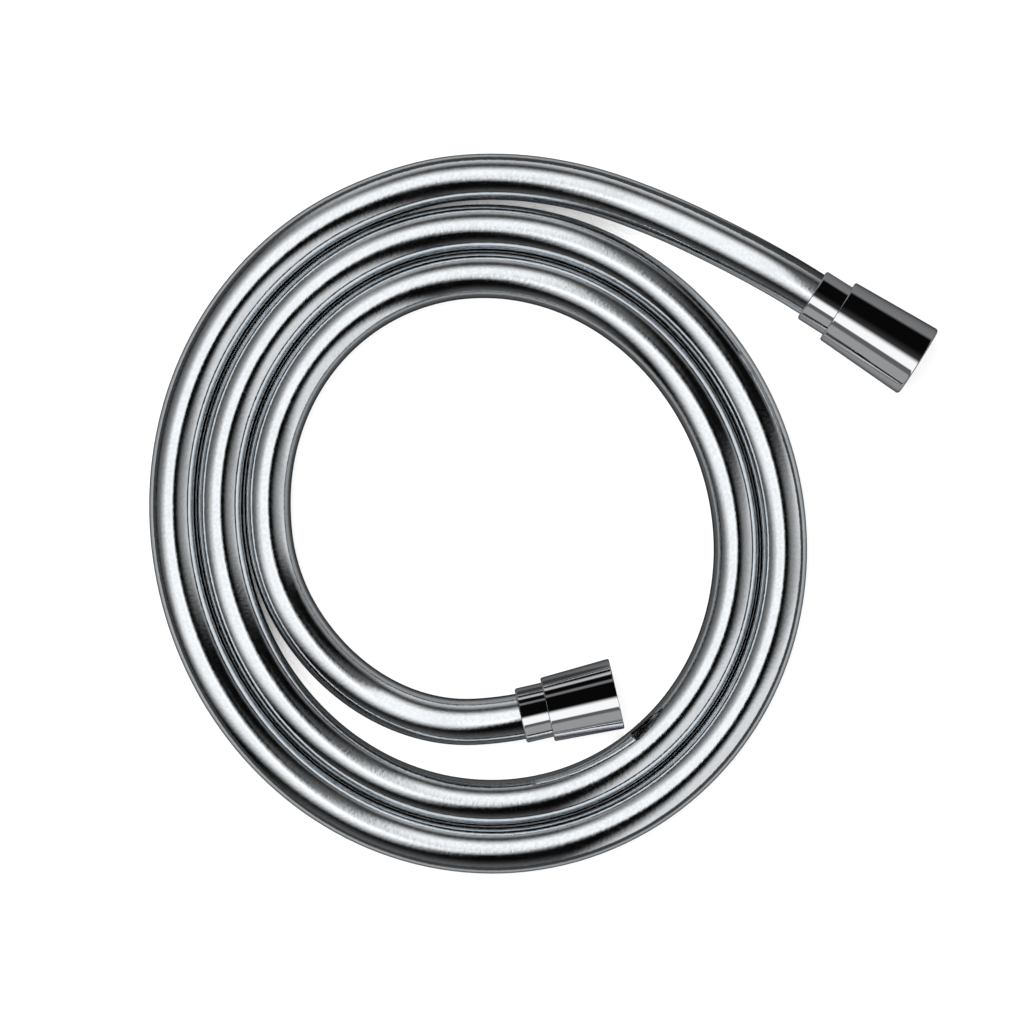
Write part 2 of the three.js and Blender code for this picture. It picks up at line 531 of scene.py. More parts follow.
def point_outwards(piece: bpy.types.Object) -> None:
    """Turns every face of a closed piece outwards.

    Args:
        piece: The piece.
    """
    select_only(piece)
    bpy.ops.object.mode_set(mode="EDIT")
    bpy.ops.mesh.select_all(action="SELECT")
    bpy.ops.mesh.normals_make_consistent(inside=False)
    bpy.ops.object.mode_set(mode="OBJECT")


# The hose


@dataclass(frozen=True)
class Spiral:
    """The line that the hose lies on: a flat spiral that has relaxed off a true one.

    drift and oval are how far it is off, and the direction in degrees where it is furthest out.
    """

    centre: Pair = (-20.9, -0.2)
    radius: float = 113.2
    drift: Pair = (5.3, -52.0)
    oval: Pair = (3.6, 107.0)
    pitch: float = 15.4

    def point(self, turn: float, outside: float, height: float) -> Vector:
        """Gives a place on the spiral or beside it.

        Args:
            turn: Degrees turned.
            outside: How far outside the line it lies.
            height: Its height above the floor.

        Returns:
            The place, in millimetres.
        """
        drift = self.drift[0] * math.cos(math.radians(turn - self.drift[1]))
        oval = self.oval[0] * math.cos(2 * math.radians(turn - self.oval[1]))
        radius = self.radius + drift + oval - self.pitch * turn / 360 + outside
        angle = math.radians(turn)
        across, up = self.centre
        return Vector((across + radius * math.cos(angle), up + radius * math.sin(angle), height))


@dataclass
class Hose:
    """The hose itself: one tube from inside one ferrule to inside the other.

    sides are the faces round it, and steps the rings between two points of its route. coil is the part that
    keeps to the spiral, as the first, last and step of the degrees turned. A tail's points are (degrees
    turned, how far outside the spiral's line, share of the rise to the fitting). Edges sharper than
    smooth_angle, in degrees, stay crisp.
    """

    outside: float = 15.0
    bore: float = 9.4
    sides: int = 48
    steps: int = 6
    smooth_angle: float = 40.0
    coil: tuple[int, int, int] = (108, 888, 12)
    handset_tail: tuple[Triple, ...] = (
        (48, 9.0, 0.57),
        (60, 4.4, 0.07),
        (72, 2.3, 0.0),
        (84, 1.25, 0.0),
        (96, 0.7, 0.0),
    )
    supply_tail: tuple[Triple, ...] = (
        (900, -0.1, 0.0),
        (912, -0.2, 0.0),
        (924, -1.0, 0.0),
        (936, -2.5, 0.0),
        (948, -4.2, 0.0),
        (960, -6.0, 0.04),
        (972, -7.9, 0.28),
        (984, -9.9, 0.7),
    )
    spiral: Spiral = field(default_factory=Spiral)

    def tail(self, points: Sequence[Triple], fitting: "Fitting") -> list[Vector]:
        """Gives the loose hose between the spiral and a fitting.

        Args:
            points: The tail's points.
            fitting: The fitting that it leads to.

        Returns:
            The places, in millimetres.
        """
        lying = self.outside / 2
        rise = fitting.mouth_radius - lying
        return [self.spiral.point(turn, outside, lying + share * rise) for turn, outside, share in points]

    def route(self, handset: "Fitting", supply: "Fitting") -> list[Vector]:
        """Gives the points that the hose passes through.

        Args:
            handset: The fitting at the outer end.
            supply: The fitting at the inner end.

        Returns:
            The points in order, in millimetres.
        """
        points = [handset.on_axis(handset.hose_end), handset.straight_end()]
        points += self.tail(self.handset_tail, handset)
        first, last, step = self.coil
        points += [self.spiral.point(turn, 0.0, self.outside / 2) for turn in range(first, last + 1, step)]
        points += self.tail(self.supply_tail, supply)
        points += [supply.straight_end(), supply.on_axis(supply.hose_end)]
        return points

    def middle_line(self, points: Sequence[Vector]) -> list[Vector]:
        """Runs a smooth curve through the points, with its speed set by the distance between them.

        Args:
            points: The points that it passes through.

        Returns:
            The places of the tube's rings.
        """
        line = []
        for i in range(len(points) - 1):
            here, there = points[i], points[i + 1]
            before = points[i - 1] if i else here * 2 - there
            after = points[i + 2] if i + 2 < len(points) else there * 2 - here
            gaps = [math.sqrt((b - a).length) for a, b in ((before, here), (here, there), (there, after))]
            first, gap, last = gaps
            leave = (here - before) / first - (there - before) / (first + gap) + (there - here) / gap
            arrive = (there - here) / gap - (after - here) / (gap + last) + (after - there) / last
            leave *= gap
            arrive *= gap
            for k in range(self.steps):
                t = k / self.steps
                square = (there - here) * 3 - leave * 2 - arrive
                cube = (here - there) * 2 + leave + arrive
                line.append(here + leave * t + square * t**2 + cube * t**3)
        line.append(points[-1])
        return line

    def faces(self, rings: int) -> list[tuple[int, ...]]:
        """Gives the tube's faces: its outside, its bore and its two ends.

        Args:
            rings: How many rings the tube has, each an outer and an inner circle of points.

        Returns:
            The points of each face.
        """
        count = self.sides
        last = 2 * count * (rings - 1)
        faces = []
        for i in range(rings - 1):
            start, end = 2 * count * i, 2 * count * (i + 1)
            for k in range(count):
                after = (k + 1) % count
                faces.append((start + k, start + after, end + after, end + k))
                faces.append((start + count + k, end + count + k, end + count + after, start + count + after))
        for k in range(count):
            after = (k + 1) % count
            faces.append((k, count + k, count + after, after))
            faces.append((last + k, last + after, last + count + after, last + count + k))
        return faces

    def map_length(self, mesh: bpy.types.Mesh, lengths: Sequence[float]) -> None:
        """Gives the tube its UV map: turns round it, and its length in girths.

        Args:
            mesh: The tube's mesh.
            lengths: How far along the tube each ring is, in girths.
        """
        count = self.sides
        layer = mesh.uv_layers.new(name="girth_and_length")
        for face in mesh.polygons:
            wraps = {mesh.loops[j].vertex_index % count for j in face.loop_indices} == {0, count - 1}
            for j in face.loop_indices:
                corner = mesh.loops[j].vertex_index
                around = corner % count
                around = count if wraps and around == 0 else around
                layer.data[j].uv = (around / count, lengths[corner // (2 * count)])

    def tube(self, line: Sequence[Vector]) -> tuple[bpy.types.Object, float]:
        """Lays rings round a line and joins them to a tube.

        Args:
            line: The places of the rings, in metres.

        Returns:
            The tube, and its length along the line in metres.
        """
        points, lengths, length = [], [], 0.0
        girth = math.pi * self.outside * MM
        for i, centre in enumerate(line):
            ahead = (line[min(i + 1, len(line) - 1)] - line[max(i - 1, 0)]).normalized()
            side = Vector(UP).cross(ahead).normalized()
            up = ahead.cross(side)
            length += (centre - line[i - 1]).length if i else 0.0
            lengths.append(length / girth)
            for radius in (self.outside / 2 * MM, self.bore / 2 * MM):
                for k in range(self.sides):
                    angle = FULL_TURN * k / self.sides
                    points.append(centre + radius * (math.sin(angle) * side - math.cos(angle) * up))
        mesh = bpy.data.meshes.new("hose_tube")
        mesh.from_pydata(points, [], self.faces(len(line)))
        self.map_length(mesh, lengths)
        tube = bpy.data.objects.new("hose_tube", mesh)
        bpy.context.collection.objects.link(tube)
        point_outwards(tube)
        bpy.ops.object.shade_smooth_by_angle(angle=math.radians(self.smooth_angle))
        return tube, length

    def build(self, handset: "Fitting", supply: "Fitting", finishes: Finishes) -> bpy.types.Object:
        """Builds the tube and dresses it.

        Args:
            handset: The fitting at the outer end.
            supply: The fitting at the inner end.
            finishes: The object's materials.

        Returns:
            The hose.
        """
        line = [place * MM for place in self.middle_line(self.route(handset, supply))]
        hose, length = self.tube(line)
        finishes.dress(hose, "hose", Body.LINE, Slot.SKIN)
        tuple(handset.on_axis(handset.ferrule_mouth) * MM)
        log.info("hose: %.3f m long on its middle line", length)
        return hose


# Turned work

# A radius that changes by less than this share stays.
SAME_RADIUS = 1e-9
# Edges sharper than the first, in degrees, are rounded, and those sharper than the second stay crisp.
ROUNDED_ANGLE = 28.0
CRISP_ANGLE = 30.0
# How much of the radius the UV map adds to the depth, so that flat faces show marks too.
FACE_SHARE = 0.7


def turn_ring(name: str, profile: Profile, sides: int) -> bpy.types.Object:
    """Turns a closed ring about Z, with its depths running down from the floor of the scene.

    Args:
        name: The new object's name.
        profile: Its section as (radius, depth) pairs in millimetres, in order round the section.
        sides: How many sides the ring has.

    Returns:
        The ring.
    """
    bpy.ops.object.select_all(action="DESELECT")
    radius, depth = profile[0]
    bpy.ops.mesh.primitive_circle_add(vertices=sides, radius=radius * MM, location=(0, 0, -depth * MM))
    ring = bpy.context.active_object
    ring.name = ring.data.name = name
    bpy.ops.object.transform_apply(location=True, rotation=True, scale=True)
    bpy.ops.object.mode_set(mode="EDIT")
    bpy.ops.mesh.select_all(action="SELECT")
    for next_radius, next_depth in profile[1:]:
        move = (0, 0, (depth - next_depth) * MM)
        bpy.ops.mesh.extrude_edges_move(TRANSFORM_OT_translate={"value": move})
        share = next_radius / radius
        if abs(share - 1) > SAME_RADIUS:
            bpy.ops.transform.resize(value=(share, share, 1), center_override=(0, 0, -next_depth * MM))
        radius, depth = next_radius, next_depth
    bpy.ops.mesh.select_all(action="DESELECT")
    bpy.ops.mesh.select_mode(type="EDGE")
    bpy.ops.mesh.select_non_manifold()
    bpy.ops.mesh.bridge_edge_loops()
    bpy.ops.mesh.select_all(action="SELECT")
    bpy.ops.mesh.normals_make_consistent(inside=False)
    bpy.ops.object.mode_set(mode="OBJECT")
    return ring


def soften(piece: bpy.types.Object, width: float, segments: int = 2) -> None:
    """Rounds a piece's sharp edges.

    Args:
        piece: The piece.
        width: The rounding's width in millimetres.
        segments: How many faces it has.
    """
    bevel = piece.modifiers.new("edges", "BEVEL")
    bevel.width = width * MM
    bevel.segments = segments
    bevel.limit_method = "ANGLE"
    bevel.angle_limit = math.radians(ROUNDED_ANGLE)
    apply_modifiers(piece)


def map_girth(piece: bpy.types.Object) -> None:
    """Gives a piece that was turned about Z its own UV map: turns round it, and depth in metres.

    Args:
        piece: The piece, still about Z.
    """
    mesh = piece.data
    while mesh.uv_layers:
        mesh.uv_layers.remove(mesh.uv_layers[0])
    layer = mesh.uv_layers.new(name="girth_and_depth")
    for face in mesh.polygons:
        middle = math.atan2(face.center.y, face.center.x)
        for j in face.loop_indices:
            place = mesh.vertices[mesh.loops[j].vertex_index].co
            angle = math.atan2(place.y, place.x)
            angle += FULL_TURN * round((middle - angle) / FULL_TURN)
            layer.data[j].uv = (angle / FULL_TURN, FACE_SHARE * math.hypot(place.x, place.y) - place.z)


@dataclass
class Fitting:
    """One end of the hose: ferrule, insert, seals and the union nut round them.

    turn and outside place the nut's mouth by the spiral, and heading is the way that it faces. The foot of
    the thread's ridge is a share of the pitch, and its crest a share of the foot. The washer is (outer
    diameter, inner diameter, thickness), the slide ring is (thickness, clearance in the nut's chamber), and
    solid_sides is how many faces the solid hose has round it.
    """

    name: str
    finishes: Finishes
    turn: float
    outside: float
    heading: float
    nut_length: float
    mouth_wall: float
    rear_wall: float
    rim: float
    ferrule_shown: float
    straight_lead: float
    swivel: bool
    nut_body: Body
    socket_depth: float = 9.5
    seat_gap: float = 0.3
    thread_major: float = 20.955
    thread_minor: float = 18.631
    thread_pitch: float = 1.814
    thread_turns: float = 4.1
    thread_chamfer: float = 0.3
    thread_start: float = 1.5
    thread_bite: float = 0.06
    thread_foot: float = 0.94
    thread_crest: float = 0.14
    thread_steps: int = 64
    nut_rounding: float = 0.09
    washer: Triple = (18.4, 12.0, 2.0)
    washer_rounding: float = 0.2
    neck: float = 12.4
    collar_clearance: float = 0.4
    collar_thick: float = 2.0
    tail_wall: float = 0.8
    barbs: int = 3
    barb_depth: float = 0.35
    tail_setback: float = 1.2
    insert_rounding: float = 0.05
    bush_length: float = 4.6
    bush_chamfer: float = 0.4
    bush_rounding: float = 0.1
    o_ring: float = 1.6
    o_ring_steps: int = 16
    slide_ring: Pair = (0.8, 0.7)
    slide_ring_rounding: float = 0.12
    ferrule_wall: float = 1.2
    ferrule_end_wall: float = 1.4
    ferrule_edge: float = 0.5
    ferrule_rounding: float = 0.16
    lip: float = 2.0
    rear_chamfer: float = 0.4
    hose: Hose = field(default_factory=Hose)
    sides: int = 128
    solid_sides: int = 12
    rim_steps: int = 8
    fine_rounding: int = 3
    pieces: list[bpy.types.Object] = field(default_factory=list)

    def __post_init__(self) -> None:
        """Works out the radii that pieces share, and the depths behind the nut's mouth where they begin."""
        self.mouth_radius = self.thread_major / 2 + self.mouth_wall
        self.chamber = self.washer[0] / 2 + self.seat_gap
        self.ferrule_bore = self.hose.outside / 2 + self.seat_gap
        self.ferrule_radius = self.ferrule_bore + self.ferrule_wall
        self.neck_bore = self.neck / 2 + self.seat_gap
        facet = math.cos(math.pi / self.solid_sides)
        self.barb_crest = self.hose.bore / 2 * facet - self.seat_gap
        self.bush = self.socket_depth + self.washer[2] + self.seat_gap
        self.collar = self.bush + (self.bush_length + self.seat_gap if self.swivel else 0.0)
        self.collar_back = self.collar + self.collar_thick
        self.slide = self.collar_back + self.seat_gap
        self.lip_front = self.slide + (self.slide_ring[0] + self.seat_gap if self.swivel else 0.0)
        self.lip_back = self.lip_front + self.lip
        self.ferrule_front = self.lip_back + self.seat_gap
        self.ferrule_wall_back = self.ferrule_front + self.ferrule_end_wall
        self.hose_end = self.ferrule_wall_back + self.seat_gap
        self.ferrule_mouth = self.nut_length + self.ferrule_shown
        self.tail_tip = self.ferrule_mouth - self.tail_setback

    def on_axis(self, depth: float) -> Vector:
        """Gives a place on the fitting's axis.

        Args:
            depth: How far behind the nut's mouth it is.

        Returns:
            The place, in millimetres.
        """
        angle = math.radians(self.heading)
        mouth = self.hose.spiral.point(self.turn, self.outside, self.mouth_radius)
        return mouth - depth * Vector((math.cos(angle), math.sin(angle), 0))

    def straight_end(self) -> Vector:
        """Gives the place where the hose stops running straight behind the ferrule, in millimetres."""
        return self.on_axis(self.ferrule_mouth + self.straight_lead)

    def place(self, piece: bpy.types.Object) -> None:
        """Lays a piece that was turned about Z on the fitting's axis, with its place in its mesh.

        Args:
            piece: The piece.
        """
        select_only(piece)
        piece.rotation_euler = (0, math.radians(90), math.radians(self.heading))
        piece.location = self.on_axis(0) * MM
        bpy.ops.object.transform_apply(location=True, rotation=True, scale=True)
        bpy.ops.object.shade_smooth_by_angle(angle=math.radians(CRISP_ANGLE))

    def add(self, piece: bpy.types.Object, node: str, body: Body, slot: Slot) -> None:
        """Finishes a piece of the fitting.

        Args:
            piece: The piece, still about Z.
            node: The last part of the name of the CAD node that it replaces.
            body: The body that it rides on.
            slot: The slot of its finish.
        """
        map_girth(piece)
        self.place(piece)
        self.finishes.dress(piece, f"{self.name}_{node}", body, slot)
        self.pieces.append(piece)

    def rim_profile(self) -> Profile:
        """Gives the rounded rim of the nut's mouth.

        Returns:
            Its profile, from its front to its outside.
        """
        profile = []
        for i in range(self.rim_steps + 1):
            angle = math.radians(90 - 90 * i / self.rim_steps)
            radius = self.mouth_radius - self.rim + self.rim * math.cos(angle)
            profile.append((radius, self.rim - self.rim * math.sin(angle)))
        return profile

    def thread_ridge(self) -> bpy.types.Object:
        """Winds the ridge of the nut's thread about Z, right handed.

        Returns:
            The ridge, closed at both ends.
        """
        bpy.ops.object.select_all(action="DESELECT")
        crest, root = self.thread_minor / 2, self.thread_major / 2 + self.thread_bite
        depth = self.thread_start + self.thread_turns * self.thread_pitch
        middle = ((crest + root) / 2 * MM, 0, -depth * MM)
        bpy.ops.mesh.primitive_plane_add(size=MM, location=middle, rotation=(math.radians(90), 0, 0))
        ridge = bpy.context.active_object
        ridge.scale = (root - crest, self.thread_pitch * self.thread_foot, 1)
        bpy.ops.object.transform_apply(location=True, rotation=True, scale=True)
        bpy.ops.object.mode_set(mode="EDIT")
        bpy.ops.mesh.select_mode(type="VERT")
        bpy.ops.mesh.delete(type="ONLY_FACE")
        bpy.ops.object.mode_set(mode="OBJECT")
        for point in ridge.data.vertices:
            point.select = point.co.x < middle[0]
        bpy.ops.object.mode_set(mode="EDIT")
        bpy.ops.transform.resize(value=(1, 1, self.thread_crest), center_override=middle)
        bpy.ops.object.mode_set(mode="OBJECT")
        screw = ridge.modifiers.new("helix", "SCREW")
        screw.axis = "Z"
        screw.angle = FULL_TURN * self.thread_turns
        screw.screw_offset = self.thread_pitch * self.thread_turns * MM
        screw.steps = screw.render_steps = round(self.thread_steps * self.thread_turns)
        apply_modifiers(ridge)
        bpy.ops.object.mode_set(mode="EDIT")
        bpy.ops.mesh.select_all(action="SELECT")
        bpy.ops.mesh.fill_holes(sides=4)
        bpy.ops.mesh.select_all(action="SELECT")
        bpy.ops.mesh.normals_make_consistent(inside=False)
        bpy.ops.object.mode_set(mode="OBJECT")
        return ridge

    def build_nut(self) -> None:
        """Builds the union nut with its thread."""
        thread = self.thread_major / 2
        skirt = self.ferrule_radius + self.seat_gap
        rear = skirt + self.rear_wall
        profile = [(thread + self.thread_chamfer, 0.0)]
        profile += self.rim_profile()
        profile += [
            (rear, self.nut_length - self.rear_chamfer),
            (rear - self.rear_chamfer, self.nut_length),
            (skirt, self.nut_length),
            (skirt, self.lip_back),
            (self.neck_bore, self.lip_back),
            (self.neck_bore, self.lip_front),
            (self.chamber, self.lip_front),
            (self.chamber, self.socket_depth),
            (thread, self.socket_depth),
            (thread, self.thread_chamfer),
        ]
        nut = turn_ring(f"{self.name}_nut_plated", profile, self.sides)
        soften(nut, self.nut_rounding)
        ridge = self.thread_ridge()
        cut = nut.modifiers.new("thread", "BOOLEAN")
        cut.operation = "UNION"
        cut.solver = "EXACT"
        cut.object = ridge
        apply_modifiers(nut)
        bpy.data.objects.remove(ridge)
        self.add(nut, "nut", self.nut_body, Slot.NUT)

    def build_ferrule(self) -> None:
        """Builds the sleeve that clamps the hose."""
        profile = [
            (self.neck_bore, self.ferrule_front),
            (self.ferrule_radius - self.ferrule_edge, self.ferrule_front),
            (self.ferrule_radius, self.ferrule_front + self.ferrule_edge),
            (self.ferrule_radius, self.ferrule_mouth - self.ferrule_edge),
            (self.ferrule_radius - self.ferrule_edge, self.ferrule_mouth),
            (self.ferrule_bore, self.ferrule_mouth),
            (self.ferrule_bore, self.ferrule_wall_back),
            (self.neck_bore, self.ferrule_wall_back),
        ]
        ferrule = turn_ring(f"{self.name}_ferrule_sleeve", profile, self.sides)
        soften(ferrule, self.ferrule_rounding, self.fine_rounding)
        self.add(ferrule, "ferrule", Body.LINE, Slot.FERRULE)

    def barb_profile(self) -> Profile:
        """Gives the tail's barbs: each slopes up towards the neck and drops square behind.

        Returns:
            Their profile, from the neck to the tip.
        """
        root = self.barb_crest - self.barb_depth
        length = (self.tail_tip - self.ferrule_wall_back) / self.barbs
        profile = []
        for i in range(self.barbs):
            profile.append((self.barb_crest, self.ferrule_wall_back + i * length))
            profile.append((root, self.ferrule_wall_back + (i + 1) * length))
        return profile

    def spigot_profile(self) -> Profile:
        """Gives the spigot in front of the collar, with its groove for the O-ring.

        Returns:
            Its profile, from its front to the collar.
        """
        spigot = self.neck / 2
        front = self.bush + self.bush_chamfer
        middle = (front + self.collar) / 2
        half = self.o_ring / 2 + self.seat_gap
        floor = spigot - self.o_ring - self.seat_gap
        return [
            (spigot - self.bush_chamfer, front),
            (spigot, front + self.bush_chamfer),
            (spigot, middle - half),
            (floor, middle - half),
            (floor, middle + half),
            (spigot, middle + half),
            (spigot, self.collar),
        ]

    def build_insert(self) -> None:
        """Builds the brass insert: spigot, collar, neck and barbed tail."""
        waterway = self.barb_crest - self.barb_depth - self.tail_wall
        collar = self.chamber - self.collar_clearance
        profile = [(waterway, self.bush + self.bush_chamfer if self.swivel else self.collar)]
        profile += self.spigot_profile() if self.swivel else []
        profile += [
            (collar, self.collar),
            (collar, self.collar_back),
            (self.neck / 2, self.collar_back),
            (self.neck / 2, self.ferrule_wall_back),
        ]
        profile += self.barb_profile()
        profile.append((waterway, self.tail_tip))
        insert = turn_ring(f"{self.name}_insert_brass", profile, self.sides)
        soften(insert, self.insert_rounding)
        self.add(insert, "insert", Body.LINE, Slot.BRASS)

    def build_washer(self) -> None:
        """Builds the flat seal."""
        outer, inner, thick = self.washer
        front = self.socket_depth
        back = front + thick
        profile = [(inner / 2, front), (outer / 2, front), (outer / 2, back), (inner / 2, back)]
        washer = turn_ring(f"{self.name}_washer_seal", profile, self.sides)
        soften(washer, self.washer_rounding, self.fine_rounding)
        body = self.nut_body if self.swivel else Body.LINE
        self.add(washer, "washer", body, Slot.RUBBER)

    def build_swivel(self) -> None:
        """Builds what lets the handset turn: bush, O-ring and slide ring."""
        outer, back = self.washer[0] / 2, self.bush + self.bush_length
        profile = [
            (self.neck_bore, self.bush),
            (outer - self.bush_chamfer, self.bush),
            (outer, self.bush + self.bush_chamfer),
            (outer, back - self.bush_chamfer),
            (outer - self.bush_chamfer, back),
            (self.neck_bore, back),
        ]
        bush = turn_ring(f"{self.name}_bush_sleeve", profile, self.sides)
        soften(bush, self.bush_rounding)
        self.add(bush, "bush", self.nut_body, Slot.PLASTIC)
        section = self.o_ring / 2
        middle = (self.bush + self.bush_chamfer + self.collar) / 2
        profile = []
        for i in range(self.o_ring_steps):
            angle = FULL_TURN * i / self.o_ring_steps
            radius = self.neck / 2 - section + section * math.cos(angle)
            profile.append((radius, middle + section * math.sin(angle)))
        seal = turn_ring(f"{self.name}_o_ring_seal", profile, self.sides)
        self.add(seal, "o_ring", Body.LINE, Slot.RUBBER)
        thick, clearance = self.slide_ring
        outer = self.chamber - clearance
        profile = [
            (self.neck_bore, self.slide),
            (outer, self.slide),
            (outer, self.slide + thick),
            (self.neck_bore, self.slide + thick),
        ]
        slide = turn_ring(f"{self.name}_slide_ring_disc", profile, self.sides)
        soften(slide, self.slide_ring_rounding)
        self.add(slide, "slide_ring", self.nut_body, Slot.PLASTIC)

    def build(self) -> None:
        """Builds every piece of the fitting."""
        self.build_nut()
        self.build_ferrule()
        self.build_insert()
        self.build_washer()
        if self.swivel:
            self.build_swivel()


# The studio


@dataclass(frozen=True)
class Mirrored:
    """Where a shiny surface mirrors a place of the tent: the slope of its normal, seen from above.

    across and up run from -1 to 1 along X and Y, reach is the distance from the middle, and azimuth is in
    degrees round from +X.
    """

    across: Socket
    up: Socket
    reach: Socket
    azimuth: Socket


@dataclass(frozen=True)
class Panel:
    """A soft-edged bright board of the tent, as (place, softness) of each edge where it is mirrored."""

    left: Pair
    right: Pair
    bottom: Pair
    top: Pair
    level: float
    lean: float = 0.0

    def lay(self, shader: Shader, at: Mirrored) -> Socket:
        """Lays the nodes of this board.

        Args:
            shader: The tent's material.
            at: Where the tent is mirrored.

        Returns:
            The board's brightness.
        """
        across = shader.math("MULTIPLY_ADD", at.up, -self.lean, at.across)
        wide = shader.band(across, self.left, self.right)
        return shader.chain("MULTIPLY", [wide, shader.band(at.up, self.bottom, self.top), self.level])


@dataclass(frozen=True)
class Arc:
    """A soft-edged bright arc of the tent, by azimuth and by (reach, softness) of its two edges."""

    azimuth: float
    half_width: float
    soft: float
    inner: Pair
    outer: Pair
    level: float
    outer_level: float

    def lay(self, shader: Shader, at: Mirrored) -> Socket:
        """Lays the nodes of this arc.

        Args:
            shader: The tent's material.
            at: Where the tent is mirrored.

        Returns:
            The arc's brightness.
        """
        turned = shader.math("WRAP", shader.math("SUBTRACT", at.azimuth, self.azimuth), 180.0, -180.0)
        aside = shader.math("ABSOLUTE", turned)
        wide = shader.ramp(aside, self.half_width - self.soft, self.half_width + self.soft, 1.0, 0.0)
        level = shader.ramp(at.reach, self.inner[0], self.outer[0], self.level, self.outer_level)
        return shader.chain("MULTIPLY", [wide, shader.band(at.reach, self.inner, self.outer), level])


@dataclass(frozen=True)
class Strip:
    """A long soft light that lies along a fitting.

    Its two edges are (place, softness) where they are mirrored. heading is the way that the fitting faces,
    and the places run from -1 to 1 across it.
    """

    heading: float
    near: Pair
    far: Pair
    level: float

    def lay(self, shader: Shader, at: Mirrored) -> Socket:
        """Lays the nodes of this strip.

        Args:
            shader: The tent's material.
            at: Where the tent is mirrored.

        Returns:
            The strip's brightness.
        """
        angle = math.radians(self.heading)
        across = shader.math("MULTIPLY", at.across, -math.sin(angle))
        aside = shader.math("MULTIPLY_ADD", at.up, math.cos(angle), across)
        return shader.math("MULTIPLY", shader.band(aside, self.near, self.far), self.level)


@dataclass(frozen=True)
class Card:
    """A glowing sheet on the floor that only shiny pieces see.

    middle is its level at the spiral's middle, and rings are (distance from there, softness, level from
    there on), in millimetres.
    """

    name: str
    height: float
    middle: float
    rings: tuple[Triple, ...]

    def level(self, shader: Shader) -> Socket:
        """Lays the nodes of its brightness.

        Args:
            shader: The card's material.

        Returns:
            The brightness.
        """
        away = shader.vector("LENGTH", shader.coordinates("Object")).outputs["Value"]
        steps, before = [], self.middle
        for place, soft, after in self.rings:
            steps.append(shader.ramp(away, (place - soft) * MM, (place + soft) * MM, 0.0, after - before))
            before = after
        return shader.chain("ADD", [*steps, self.middle])


